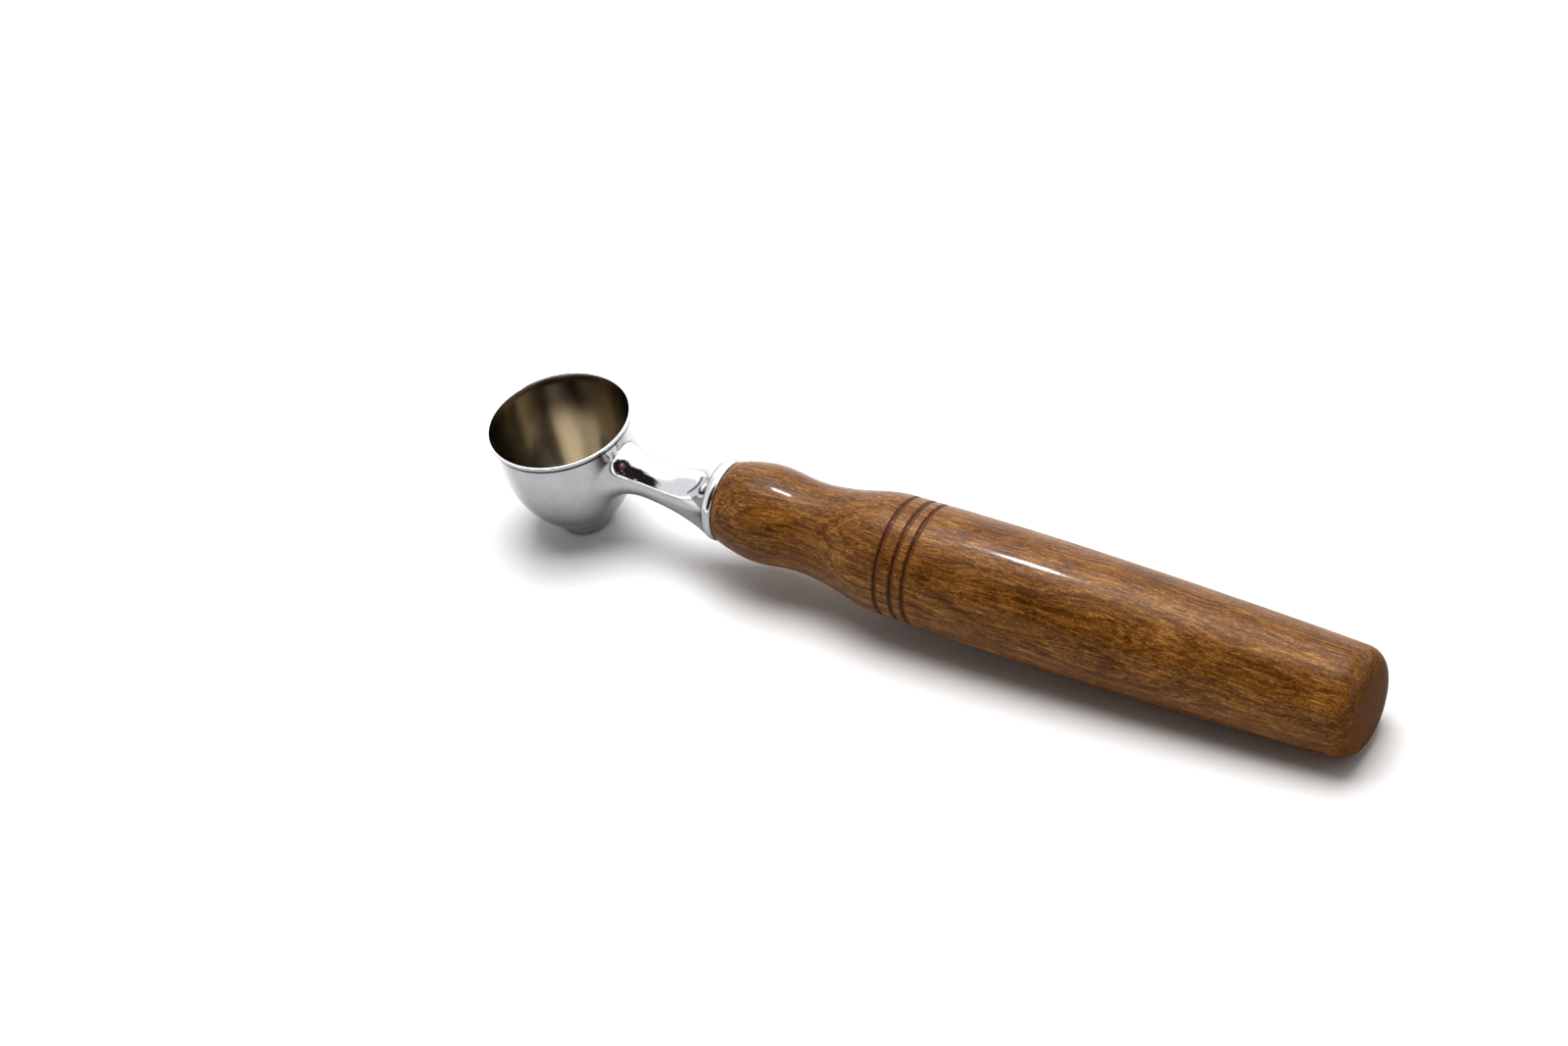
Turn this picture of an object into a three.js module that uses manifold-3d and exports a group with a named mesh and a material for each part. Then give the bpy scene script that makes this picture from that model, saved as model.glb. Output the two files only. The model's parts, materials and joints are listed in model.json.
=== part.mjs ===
// A coffee scoop: a plated bowl and stem cast in one piece, screwed into a turned wooden handle.
// Millimetres, +Z up. It lies at rest on z = 0, on the rear edge of the bowl's foot and the lower
// edge of the handle's butt. +X runs from the bowl to the butt, and y = 0 is the plane of symmetry.
//
// The pieces are drawn in the handle's own frame: the x axis is the handle's axis, x = 0 is the
// wood's front face, the scoop is at negative x and the butt at positive x. One group at the end
// tilts that frame until both resting edges touch the table.

import * as THREE from "three";
import { mergeVertices } from "three/addons/utils/BufferGeometryUtils.js";
import Module from "manifold-3d";

const wasm = await Module();
wasm.setup();

// Handle
const handleLength = 199.2;
const frontFaceRadius = 11.4;
const noseRadius = 13.5;
const beadRadius = 14.4;
const neckRadius = 13;
const shoulderRadius = 17;
const bellyRadius = 17.9;
const buttRadius = 15.8;
const buttCorner = 6.2;
const buttDome = 0.5;
const grooveStations = [56, 61, 64.9];
const grooveWidth = 2;
const grooveDepth = 0.5;

// Bowl, measured down its own axis from the rim
const bowlDepth = 37;
const bowlRadius = 20.95;
const cavityDepth = 34.2;
const cavityRadius = 20.1;
const bowlFullness = 2.25;
const bowlRoundness = 2.1;
const lipInnerRadius = 20.5;
const lipOuterRadius = 21.35;
const lipHeight = 1.4;
const lipEdge = 0.35;
const footRadius = 8;
const footHeight = 2.2;
const footEdge = 0.4;

// Where the rim's centre is in the handle's frame, and how far the bowl leans away from the handle
const rimCentre = new THREE.Vector3(-56.1, 0, 10.9);
const bowlLean = THREE.MathUtils.degToRad(6);

// Stem: a waist that flares to the collar on one side and to the bowl on the other
const waistStation = -26.4;
const waistRadius = 6.1;
const stemEndRadius = 11.3;
const stemFlarePower = 2.35;
const stemRoot = -38.4;
const stemRootRadius = 9.6;
const stemSag = 1.6;

// Collar ring between the stem and the wood
const ringLength = 3.1;
const ringFrontRadius = 11.4;
const ringRadius = 12;
const ringBore = 4.6;

// Screw joint: a 5/16-18 stud fixed in the stem, and a brass insert fixed in the wood
const threadPitch = 25.4 / 18;
const studRadius = 3.93;
const studRootRadius = 3.1;
const threadClearance = 0.16;
const studInStem = 11;
const insertStart = 0.5;
const insertLength = 12;
const insertRadius = 5.4;
const insertWaist = 4.95;
const insertBarbs = 3;
const handleBore = 5.6;
const handleBoreDepth = 17;

// Gap between pieces that rest against each other
const seatGap = 0.15;

const ringRear = -seatGap;
const ringFront = ringRear - ringLength;
const stemEnd = ringFront - seatGap;
const insertEnd = insertStart + insertLength;

const fineTurn = 48;
const coarseTurn = 32;
const threadTurn = 20;

// A profile of [station, radius] points turned about the x axis. It starts and ends on the axis
// or closes on itself, and its outer side runs towards the scoop.
function turned(profile, segments) {
  const points = profile.map(([station, radius]) => new THREE.Vector2(radius, -station));
  return new THREE.LatheGeometry(points, segments).rotateZ(Math.PI / 2);
}

function solid(geometry) {
  const bare = geometry.clone();
  bare.deleteAttribute("normal");
  bare.deleteAttribute("uv");
  const merged = mergeVertices(bare, 1e-3);
  return new wasm.Manifold(
    new wasm.Mesh({
      numProp: 3,
      vertProperties: merged.attributes.position.array,
      triVerts: new Uint32Array(merged.index.array),
    }),
  );
}

function geometryOf(body) {
  const mesh = body.getMesh();
  const geometry = new THREE.BufferGeometry();
  geometry.setAttribute("position", new THREE.BufferAttribute(mesh.vertProperties, 3));
  geometry.setIndex(new THREE.BufferAttribute(mesh.triVerts, 1));
  geometry.computeVertexNormals();
  return geometry;
}

// A closed rod with a right-hand thread about the x axis between two stations. It is a turned
// profile of one root row and two crest rows in every pitch, moved along the axis by one pitch
// in a turn, so that the last column of vertices meets the first a pitch further on.
function threadedRod(from, to, crestRadius, rootRadius) {
  const rowsInPitch = [
    [0, rootRadius],
    [0.4, crestRadius],
    [0.6, crestRadius],
  ];
  const firstPitch = Math.ceil(to / threadPitch) + 1;
  const lastPitch = Math.floor(from / threadPitch) - 1;
  const rows = [];
  for (let pitch = firstPitch; pitch > lastPitch; pitch--) {
    for (const [share, radius] of rowsInPitch) rows.push([(pitch - share) * threadPitch, radius]);
  }
  const middleOfEnd = threadPitch / 2;
  const profile = [
    [rows[0][0] - middleOfEnd, 0],
    ...rows,
    [rows.at(-1)[0] - middleOfEnd, 0],
  ];
  const rod = turned(profile, threadTurn);
  const position = rod.attributes.position;
  const vertex = (column, row) => column * profile.length + row;
  for (let column = 0; column <= threadTurn; column++) {
    const advance = (threadPitch * column) / threadTurn;
    for (let row = 1; row <= rows.length; row++) {
      const at = vertex(column, row);
      position.setX(at, position.getX(at) - advance);
    }
  }
  // The step that the helix leaves at each end is closed by a fan from the axis.
  const faces = [...rod.index.array];
  const lastAxisPoint = profile.length - 1;
  for (let row = 1; row <= rowsInPitch.length; row++) {
    faces.push(0, vertex(0, row), vertex(0, row + 1));
    const low = rows.length - row;
    faces.push(lastAxisPoint, vertex(threadTurn, low + 1), vertex(threadTurn, low));
  }
  rod.setIndex(faces);
  const chamfer = crestRadius - rootRadius;
  const blank = turned(
    [
      [to, 0],
      [to, rootRadius],
      [to - chamfer, crestRadius + chamfer / 4],
      [from + chamfer, crestRadius + chamfer / 4],
      [from, rootRadius],
      [from, 0],
    ],
    threadTurn,
  );
  return solid(rod).intersect(solid(blank));
}

// The depth and radius of the bowl's body, from the rim down towards its pole.
function bowlCurve(depth, radius, from, to, steps) {
  const points = [];
  for (let step = 0; step <= steps; step++) {
    const down = from + ((to - from) * step) / steps;
    const share = Math.pow(1 - Math.pow(down / depth, bowlFullness), 1 / bowlRoundness);
    points.push([down, radius * share]);
  }
  return points;
}

// Points of a quarter circle or ellipse between two points, bulging away from its centre.
function quarter(centre, start, end, steps) {
  const points = [];
  for (let step = 0; step <= steps; step++) {
    const turn = (Math.PI / 2) * (step / steps);
    const [a, b] = [Math.cos(turn), Math.sin(turn)];
    points.push([
      centre[0] + (start[0] - centre[0]) * a + (end[0] - centre[0]) * b,
      centre[1] + (start[1] - centre[1]) * a + (end[1] - centre[1]) * b,
    ]);
  }
  return points;
}

// A solid turned about the bowl's own axis from points of [depth below the rim, radius].
function aboutBowlAxis(points) {
  const profile = points.map(([down, radius]) => new THREE.Vector2(radius, -down));
  const geometry = new THREE.LatheGeometry(profile, fineTurn).rotateX(Math.PI / 2);
  geometry.rotateY(-bowlLean).translate(rimCentre.x, rimCentre.y, rimCentre.z);
  return solid(geometry);
}

function bowlOutside() {
  const footTop = bowlDepth - footHeight;
  const footFillet = 0.9;
  const wall = bowlCurve(bowlDepth, bowlRadius, lipHeight, footTop - footFillet, 9).reverse();
  return aboutBowlAxis([
    [bowlDepth, 0],
    ...quarter(
      [bowlDepth - footEdge, footRadius - footEdge],
      [bowlDepth, footRadius - footEdge],
      [bowlDepth - footEdge, footRadius],
      2,
    ),
    [footTop, footRadius],
    ...wall,
    [lipHeight * 0.7, lipOuterRadius],
    [lipEdge, lipOuterRadius],
    [0, lipOuterRadius - lipEdge],
    [0, 0],
  ]);
}

function bowlCavity() {
  const aboveRim = 10;
  const lipInside = 2;
  const lowestRow = cavityDepth * 0.97;
  const wall = bowlCurve(cavityDepth, cavityRadius, lipInside, lowestRow, 8).reverse();
  return aboutBowlAxis([
    [cavityDepth, 0],
    ...wall,
    [0, lipInnerRadius],
    [-aboveRim, lipInnerRadius],
    [-aboveRim, 0],
  ]);
}

function stemRadiusAt(station) {
  if (station > waistStation) {
    const share = (station - waistStation) / (stemEnd - waistStation);
    return waistRadius + (stemEndRadius - waistRadius) * Math.pow(share, stemFlarePower);
  }
  const share = (waistStation - station) / (waistStation - stemRoot);
  return waistRadius + (stemRootRadius - waistRadius) * share * share;
}

// How far the stem's centre line hangs below the handle's axis: most at a third of its length.
function stemSagAt(station) {
  const share = (stemEnd - station) / (stemEnd - stemRoot);
  return stemSag * (27 / 4) * share * (1 - share) * (1 - share);
}

function stemSolid() {
  const steps = 12;
  const profile = [[stemEnd, 0]];
  for (let step = 0; step <= steps; step++) {
    const station = stemEnd + ((stemRoot - stemEnd) * step) / steps;
    profile.push([station, stemRadiusAt(station)]);
  }
  profile.push([stemRoot, 0]);
  const stem = turned(profile, coarseTurn);
  const position = stem.attributes.position;
  for (let at = 0; at < position.count; at++) {
    position.setZ(at, position.getZ(at) - stemSagAt(position.getX(at)));
  }
  return solid(stem);
}

// Bowl and stem in one casting, with a blind tapped hole in the stem for the stud.
function scoopCasting() {
  const holeBottom = stemEnd - studInStem - seatGap * 2;
  const pastMouth = stemEnd + 2;
  const tap = threadedRod(
    holeBottom,
    pastMouth,
    studRadius + threadClearance,
    studRootRadius + threadClearance,
  );
  return bowlOutside().add(stemSolid()).subtract(bowlCavity()).subtract(tap);
}

function threadedStud() {
  return threadedRod(stemEnd - studInStem, insertEnd - seatGap * 2, studRadius, studRootRadius);
}

function collarRing() {
  const crown = ringRear - ringLength * 0.3;
  const coveTop = crown - ringLength * 0.3;
  const rearRounding = 0.4;
  const coveDrop = 0.1;
  const frontEdge = 0.2;
  return turned(
    [
      [ringFront, ringBore],
      [ringRear, ringBore],
      [ringRear, ringRadius - rearRounding],
      ...quarter(
        [crown, ringRadius - rearRounding],
        [ringRear, ringRadius - rearRounding],
        [crown, ringRadius],
        3,
      ).slice(1),
      [coveTop, ringRadius - coveDrop],
      [ringFront + frontEdge, ringFrontRadius],
      [ringFront, ringFrontRadius - frontEdge],
      [ringFront, ringBore],
    ],
    fineTurn,
  );
}

// Brass insert: barbed outside where it is glued into the wood, tapped right through inside.
function threadedInsert() {
  const profile = [
    [insertStart, 0],
    [insertEnd, 0],
  ];
  const barbLength = insertLength / insertBarbs;
  for (let barb = 0; barb < insertBarbs; barb++) {
    const rear = insertEnd - barb * barbLength;
    profile.push([rear, insertWaist]);
    profile.push([rear - barbLength * 0.6, insertRadius]);
    profile.push([rear - barbLength * 0.8, insertRadius]);
    profile.push([rear - barbLength * 0.8, insertWaist]);
  }
  profile.push([insertStart, insertWaist], [insertStart, 0]);
  const tap = threadedRod(
    insertStart - 2,
    insertEnd + 2,
    studRadius + threadClearance,
    studRootRadius + threadClearance,
  );
  return solid(turned(profile, coarseTurn)).subtract(tap);
}

// The handle's outline from the front face to the butt's corner, before the grooves are cut.
function handleOutline() {
  const stations = [
    [0, frontFaceRadius],
    [1.5, frontFaceRadius + 0.8],
    [6, noseRadius],
    [13.5, beadRadius],
    [25.5, neckRadius],
    [37.5, neckRadius + 1.2],
    [49.5, shoulderRadius],
    [61, shoulderRadius + 0.45],
    [98, bellyRadius],
    [138, bellyRadius - 0.5],
    [177, buttRadius + 0.6],
    [handleLength - buttDome - buttCorner, buttRadius],
  ].map(([station, radius]) => new THREE.Vector3(station, radius, 0));
  return new THREE.CatmullRomCurve3(stations, false, "centripetal");
}

// Radius of the outline at a station, from a fine walk along the curve.
function outlineRadiusAt(walk, station) {
  const next = walk.findIndex((point) => point.x >= station);
  const [a, b] = [walk[Math.max(next - 1, 0)], walk[next]];
  const share = b.x > a.x ? (station - a.x) / (b.x - a.x) : 0;
  return a.y + (b.y - a.y) * share;
}

function handleSolid() {
  const walk = handleOutline().getPoints(600);
  const straight = handleLength - buttDome - buttCorner;
  // Close together where the bead and the neck curve, and 20 mm apart along the belly
  const stations = [0, 1.5, 4, 8, 13.5, 20, 25.5, 32, 37.5, 43, 49.5];
  for (let station = 75; station < straight; station += 20) stations.push(station);
  const outer = stations.map((station) => [station, outlineRadiusAt(walk, station)]);
  for (const groove of grooveStations) {
    const lip = outlineRadiusAt(walk, groove);
    outer.push([groove - grooveWidth / 2, lip], [groove + grooveWidth / 2, lip]);
    outer.push([groove, lip - grooveDepth]);
  }
  outer.sort((a, b) => b[0] - a[0]);
  const cornerTop = handleLength - buttDome;
  return turned(
    [
      [handleLength, 0],
      [handleLength - buttDome / 3, (buttRadius - buttCorner) * 0.6],
      ...quarter(
        [straight, buttRadius - buttCorner],
        [cornerTop, buttRadius - buttCorner],
        [straight, buttRadius],
        5,
      ),
      ...outer,
      [0, handleBore],
      [handleBoreDepth, handleBore],
      [handleBoreDepth + 2, 0],
    ],
    fineTurn,
  );
}

// Tilt of the handle's frame that brings the lowest points on both sides of x = 0 to one height.
function restingTilt(vertices) {
  let tilt = 0;
  for (let round = 0; round < 20; round++) {
    const height = (point) => point.z * Math.cos(tilt) - point.x * Math.sin(tilt);
    const lowest = (side) => side.reduce((a, b) => (height(b) < height(a) ? b : a));
    const foot = lowest(vertices.filter((point) => point.x < 0));
    const butt = lowest(vertices.filter((point) => point.x > 0));
    tilt = Math.atan2(butt.z - foot.z, butt.x - foot.x);
  }
  return tilt;
}

const plating = { color: 0xdfe1e4, roughness: 0.06, metalness: 1 };
const looks = {
  handle: { color: 0x8a5a2c, roughness: 0.32, metalness: 0 },
  threaded_insert: { color: 0xb8924a, roughness: 0.35, metalness: 1 },
  collar_ring: plating,
  scoop_casting: plating,
  threaded_stud: { color: 0x9b9da1, roughness: 0.4, metalness: 1 },
};

const shapes = {
  handle: handleSolid(),
  threaded_insert: geometryOf(threadedInsert()),
  collar_ring: collarRing(),
  scoop_casting: geometryOf(scoopCasting()),
  threaded_stud: geometryOf(threadedStud()),
};

const handleFrame = new THREE.Group();
const vertices = [];
for (const [name, geometry] of Object.entries(shapes)) {
  const mesh = new THREE.Mesh(geometry, new THREE.MeshStandardMaterial(looks[name]));
  mesh.name = name;
  handleFrame.add(mesh);
  const position = geometry.attributes.position;
  for (let at = 0; at < position.count; at++) {
    vertices.push(new THREE.Vector3().fromBufferAttribute(position, at));
  }
}
handleFrame.rotation.y = restingTilt(vertices);

const scoop = new THREE.Group();
scoop.add(handleFrame);
const box = new THREE.Box3().setFromObject(scoop, true);
handleFrame.position.set(-(box.min.x + box.max.x) / 2, 0, -box.min.z);

export default scoop;
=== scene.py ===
"""Looks of a coffee scoop: a plated bowl and stem, a collar ring and a turned, lacquered wooden handle.

Each piece is drawn in the handle's frame, in millimetres: x runs along the handle's axis from the wood's
front face to the butt, the scoop is at negative x and z is up. The frame comes from the hinge's axis in
the record. Meshes are then placed in the row frame, in metres, and keep their millimetres in attributes,
so that grain and wear stay with the piece.
"""

import json
import math

import bpy
import numpy as np
from mathutils import Matrix, Vector


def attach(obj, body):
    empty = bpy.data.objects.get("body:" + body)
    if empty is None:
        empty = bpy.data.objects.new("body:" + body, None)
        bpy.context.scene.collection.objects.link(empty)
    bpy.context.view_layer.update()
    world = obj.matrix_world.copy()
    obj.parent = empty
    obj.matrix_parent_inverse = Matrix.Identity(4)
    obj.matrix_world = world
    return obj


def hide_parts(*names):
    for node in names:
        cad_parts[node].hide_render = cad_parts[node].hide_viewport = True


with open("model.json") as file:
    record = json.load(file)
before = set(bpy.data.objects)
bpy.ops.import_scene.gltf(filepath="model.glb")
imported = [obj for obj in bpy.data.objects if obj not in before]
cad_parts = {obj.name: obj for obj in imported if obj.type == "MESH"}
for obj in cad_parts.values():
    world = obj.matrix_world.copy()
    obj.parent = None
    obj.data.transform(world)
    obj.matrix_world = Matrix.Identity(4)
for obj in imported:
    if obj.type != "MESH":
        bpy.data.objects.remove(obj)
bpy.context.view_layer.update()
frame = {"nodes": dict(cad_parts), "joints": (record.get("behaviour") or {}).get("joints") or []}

MM = 0.001

# ---------------------------------------------------------------- sizes, in millimetres

HANDLE_LENGTH = 199.2
FRONT_FACE_RADIUS = 11.4
NOSE_RADIUS = 13.5
BEAD_RADIUS = 14.4
NECK_RADIUS = 13.0
SHOULDER_RADIUS = 17.0
BELLY_RADIUS = 17.9
BUTT_RADIUS = 15.8
BUTT_CORNER = 6.2
BUTT_DOME = 0.5
GROOVES = (56.0, 61.0, 64.9)
GROOVE_WIDTH = 2.0
GROOVE_DEPTH = 0.5
GROOVE_STEP = 0.12
CURVE_EVENING = 2.6
SANDED_EDGE = 2.2
HANDLE_BORE = 5.6
HANDLE_BORE_DEPTH = 17.0
BORE_CHAMFER = 0.25
DRILL_POINT = 2.0

RING_REAR = -0.15
RING_FRONT = -3.25
RING_RADIUS = 12.0
RING_FRONT_RADIUS = 11.4
RING_BORE = 4.6
RING_CROWN = -1.2
RING_REAR_ROUNDING = 0.75
RING_COVE = 1.1
RING_EDGE = 0.18
HINGE_STATION = -1.7

BOWL_DEPTH = 37.0
BOWL_RADIUS = 20.95
CAVITY_DEPTH = 34.2
CAVITY_RADIUS = 20.1
BOWL_FULLNESS = 2.25
BOWL_ROUNDNESS = 2.1
LIP_INNER_RADIUS = 20.5
LIP_OUTER_RADIUS = 21.35
LIP_HEIGHT = 1.4
LIP_ROUNDING = 0.3
WALL_TOP = LIP_HEIGHT + 0.35
FOOT_FILLET_START = 33.2
FOOT_TOP = 35.3
FOOT_RADIUS = 8.0
FOOT_EDGE = 0.4
RIM_CENTRE = np.array([-56.1, 0.0, 10.9])
BOWL_LEAN = math.radians(6)

STEM_END = -3.4
STEM_END_RADIUS = 11.3
STEM_FLARE_POWER = 2.35
WAIST_STATION = -26.4
WAIST_RADIUS = 6.1
STEM_ROOT = -38.4
STEM_ROOT_RADIUS = 9.6
STEM_SAG = 1.6
# Where the stem's skin turns towards the bowl, and how far from the axis it lands on the wall
SKIRT_STATION = -29.5
SKIRT_TOP_SHIFT = 0.8
LANDING = 8.1
LANDING_SIDE = 4.2
LANDING_TOP = 2.2
LANDING_BOTTOM = 3.4

PITCH = 25.4 / 18
STUD_RADIUS = 3.93
STUD_ROOT = 3.1
THREAD_CLEARANCE = 0.16
STUD_IN_STEM = 11.0
INSERT_START = 0.5
INSERT_END = 12.5
INSERT_RADIUS = 5.4
INSERT_WAIST = 4.95
INSERT_BARBS = 3
STUD_END = 12.2
# One turn of the thread's profile: share of the pitch and share of the height
THREAD_PROFILE = (
    (0.0, 0.0), (0.05, 0.0), (0.12, 0.12), (0.4, 0.93),
    (0.45, 1.0), (0.6, 1.0), (0.65, 0.93), (0.93, 0.12),
)

# Points round a turned piece, and round a thread
TURN = 192
THREAD_TURN = 48


# ---------------------------------------------------------------- the handle's frame


def handle_frame():
    """The matrix from the handle's frame, in millimetres, to the row frame, in metres."""
    hinge = next(j for j in frame["joints"] if j["name"] == "scoop_turn")
    along = -Vector(hinge["axis"]).normalized()
    side = Vector((0, 1, 0))
    up = along.cross(side)
    origin = Vector(hinge["pos_m"]) - along * (HINGE_STATION * MM)
    turn = Matrix((along, side, up)).transposed().to_4x4()
    return Matrix.Translation(origin) @ turn @ Matrix.Scale(MM, 4)


TO_ROW = np.array(handle_frame())


def unit(vectors):
    length = np.linalg.norm(vectors, axis=-1, keepdims=True)
    return vectors / np.maximum(length, 1e-12)


# ---------------------------------------------------------------- sheets of points


class Shape:
    """Grids of points with their normals, gathered into one mesh."""

    def __init__(self):
        self.points, self.normals, self.faces = [], [], []
        self.fields = {}
        self.count = 0

    def grid(self, points, normals, around=False, material=0, **fields):
        """Adds rows x columns of points. around joins the last column to the first."""
        rows, columns = points.shape[:2]
        index = np.arange(rows * columns).reshape(rows, columns) + self.count
        right = np.roll(index, -1, axis=1) if around else index[:, 1:]
        left = index if around else index[:, :-1]
        quads = np.stack([left[:-1], right[:-1], right[1:], left[1:]], axis=-1).reshape(-1, 4)
        flat_points, flat_normals = points.reshape(-1, 3), unit(normals).reshape(-1, 3)
        local = quads - self.count
        a, b, c, d = (flat_points[local[:, corner]] for corner in range(4))
        facing = np.cross(c - a, d - b)
        wanted = flat_normals[local].sum(axis=1)
        backward = np.sum(facing * wanted, axis=1) < 0
        quads[backward] = quads[backward][:, ::-1]
        self.faces.append((quads, material))
        self.points.append(flat_points)
        self.normals.append(flat_normals)
        for name, values in fields.items():
            whole = np.broadcast_to(values, points.shape[:2] + np.shape(values)[2:])
            self.fields.setdefault(name, []).append((self.count, whole))
        self.count += rows * columns

    def object(self, name, materials):
        """The mesh object of all grids, placed in the row frame."""
        points = np.concatenate(self.points)
        normals = np.concatenate(self.normals)
        quads = np.concatenate([q for q, _ in self.faces])
        paint = np.concatenate([np.full(len(q), m) for q, m in self.faces])
        # Quads that end on the axis lose their doubled corner
        polygons, kept = [], []
        rounded = np.round(points, 5)
        for face, colour in zip(quads.tolist(), paint.tolist()):
            corners = []
            for corner in face:
                if all(np.any(rounded[corner] != rounded[other]) for other in corners):
                    corners.append(corner)
            if len(corners) > 2:
                polygons.append(corners)
                kept.append(colour)
        placed = points @ TO_ROW[:3, :3].T + TO_ROW[:3, 3]
        turned_normals = unit(normals @ TO_ROW[:3, :3].T)
        mesh = bpy.data.meshes.new(name)
        mesh.from_pydata(placed.tolist(), [], polygons)
        mesh.update()
        mesh.polygons.foreach_set("material_index", kept)
        mesh.shade_smooth()
        own = mesh.attributes.new("own_mm", "FLOAT_VECTOR", "POINT")
        own.data.foreach_set("vector", points.astype(np.float32).ravel())
        for field, parts in self.fields.items():
            wide = parts[0][1].ndim == 3
            values = np.zeros((self.count, 3) if wide else self.count, np.float32)
            for start, part in parts:
                flat = part.reshape(-1, 3) if wide else part.reshape(-1)
                values[start : start + len(flat)] = flat
            kind, key = ("FLOAT_VECTOR", "vector") if wide else ("FLOAT", "value")
            mesh.attributes.new(field, kind, "POINT").data.foreach_set(key, values.ravel())
        mesh.normals_split_custom_set_from_vertices(turned_normals.tolist())
        piece = bpy.data.objects.new(name, mesh)
        bpy.context.scene.collection.objects.link(piece)
        for material in materials:
            mesh.materials.append(material)
        return piece


def circle(turn=TURN):
    angles = np.arange(turn) * 2 * math.pi / turn
    return np.cos(angles), np.sin(angles)


def across_outline(outline):
    """The outline's normals, to the left of its way."""
    slope = np.gradient(outline, axis=0)
    return np.stack([-slope[:, 1], slope[:, 0]], axis=1)


def turned(shape, outline, turn=TURN, across=None, **fields):
    """A run of [station, radius] points turned about the handle's axis, smooth along its length."""
    outline = np.asarray(outline, float)
    if across is None:
        across = across_outline(outline)
    c, s = circle(turn)
    x = np.repeat(outline[:, :1], turn, axis=1)
    points = np.stack([x, outline[:, 1:] * c, outline[:, 1:] * s], axis=-1)
    normals = np.stack([across[:, :1] + 0 * c, across[:, 1:] * c, across[:, 1:] * s], axis=-1)
    spread = {k: np.repeat(np.asarray(v, float)[:, None], turn, axis=1) for k, v in fields.items()}
    shape.grid(points, normals, around=True, **spread)


def arc(centre, radii, start, end, steps):
    """Points of an ellipse's arc, from one angle to another in degrees."""
    t = np.radians(np.linspace(start, end, steps + 1))
    return np.stack([centre[0] + radii[0] * np.cos(t), centre[1] + radii[1] * np.sin(t)], axis=1)


def line(a, b, steps=1):
    t = np.linspace(0, 1, steps + 1)[:, None]
    return np.asarray(a, float) * (1 - t) + np.asarray(b, float) * t


def bezier(a, b, c, steps):
    """Points of a quadratic curve from a to c that is pulled towards b."""
    t = np.linspace(0, 1, steps + 1)[:, None]
    a, b, c = (np.asarray(p, float) for p in (a, b, c))
    return (1 - t) ** 2 * a + 2 * t * (1 - t) * b + t**2 * c


# ---------------------------------------------------------------- handle


def centripetal(points, samples):
    """A centripetal Catmull-Rom curve through points."""
    p = np.asarray(points, float)
    p = np.vstack([2 * p[0] - p[1], p, 2 * p[-1] - p[-2]])
    out = []
    for i in range(1, len(p) - 2):
        a, b, c, d = p[i - 1 : i + 3]
        t = np.cumsum([0, *(np.linalg.norm(v) ** 0.5 for v in (b - a, c - b, d - c))])
        u = np.linspace(t[1], t[2], samples, endpoint=False)[:, None]
        ab = (a * (t[1] - u) + b * (u - t[0])) / (t[1] - t[0])
        bc = (b * (t[2] - u) + c * (u - t[1])) / (t[2] - t[1])
        cd = (c * (t[3] - u) + d * (u - t[2])) / (t[3] - t[2])
        abc = (ab * (t[2] - u) + bc * (u - t[0])) / (t[2] - t[0])
        bcd = (bc * (t[3] - u) + cd * (u - t[1])) / (t[3] - t[1])
        out.append((abc * (t[2] - u) + bcd * (u - t[1])) / (t[2] - t[1]))
    return np.vstack([*out, p[-2:-1]])


def handle_stations(straight):
    """Stations for the handle's mesh: close on the bead's front, closer in the grooves."""
    fine_step, fine_end, coarse_step = 0.5, 14, 1.0
    stations = {*np.round(np.arange(0, fine_end, fine_step), 3)}
    stations |= {*np.round(np.arange(fine_end, straight, coarse_step), 3)}
    reach = GROOVE_WIDTH / 2 + 3 * GROOVE_STEP
    stations = {s for s in stations if all(abs(s - g) > reach for g in GROOVES)}
    for groove in GROOVES:
        stations |= {*np.round(np.arange(groove - reach, groove + reach, GROOVE_STEP), 3)}
    return np.array(sorted(stations | {straight}))


def evened(walk, radii, step):
    """Radii with the even curvature that a chisel leaves, except on the sharp front edge."""
    edge, ramp = 1.0, 6.0
    half = int(3.5 * CURVE_EVENING / step)
    kernel = np.exp(-0.5 * (np.arange(-half, half + 1) * step / CURVE_EVENING) ** 2)
    padded = np.pad(radii, half, mode="reflect", reflect_type="odd")
    even = np.convolve(padded, kernel / kernel.sum(), "valid")
    share = np.clip((walk - edge) / ramp, 0, 1)
    return radii + (even - radii) * share * share * (3 - 2 * share)


def handle_outline():
    """Stations and radii of the handle without its grooves, up to the butt's rounded corner."""
    straight = HANDLE_LENGTH - BUTT_DOME - BUTT_CORNER
    # Front edge, nose, bead, neck, shoulder, belly and butt
    curve = centripetal(
        [
            [0, FRONT_FACE_RADIUS],
            [1.5, FRONT_FACE_RADIUS + 0.8],
            [6, NOSE_RADIUS],
            [13.5, BEAD_RADIUS],
            [25.5, NECK_RADIUS],
            [37.5, NECK_RADIUS + 1.2],
            [49.5, SHOULDER_RADIUS],
            [61, SHOULDER_RADIUS + 0.45],
            [98, BELLY_RADIUS],
            [138, BELLY_RADIUS - 0.5],
            [177, BUTT_RADIUS + 0.6],
            [straight, BUTT_RADIUS],
        ],
        samples=120,
    )
    step = 0.2
    walk = np.arange(0, straight, step)
    radii = evened(walk, np.interp(walk, curve[:, 0], curve[:, 1]), step)
    stations = handle_stations(straight)
    return stations, np.interp(stations, np.append(walk, straight), np.append(radii, BUTT_RADIUS))


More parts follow.
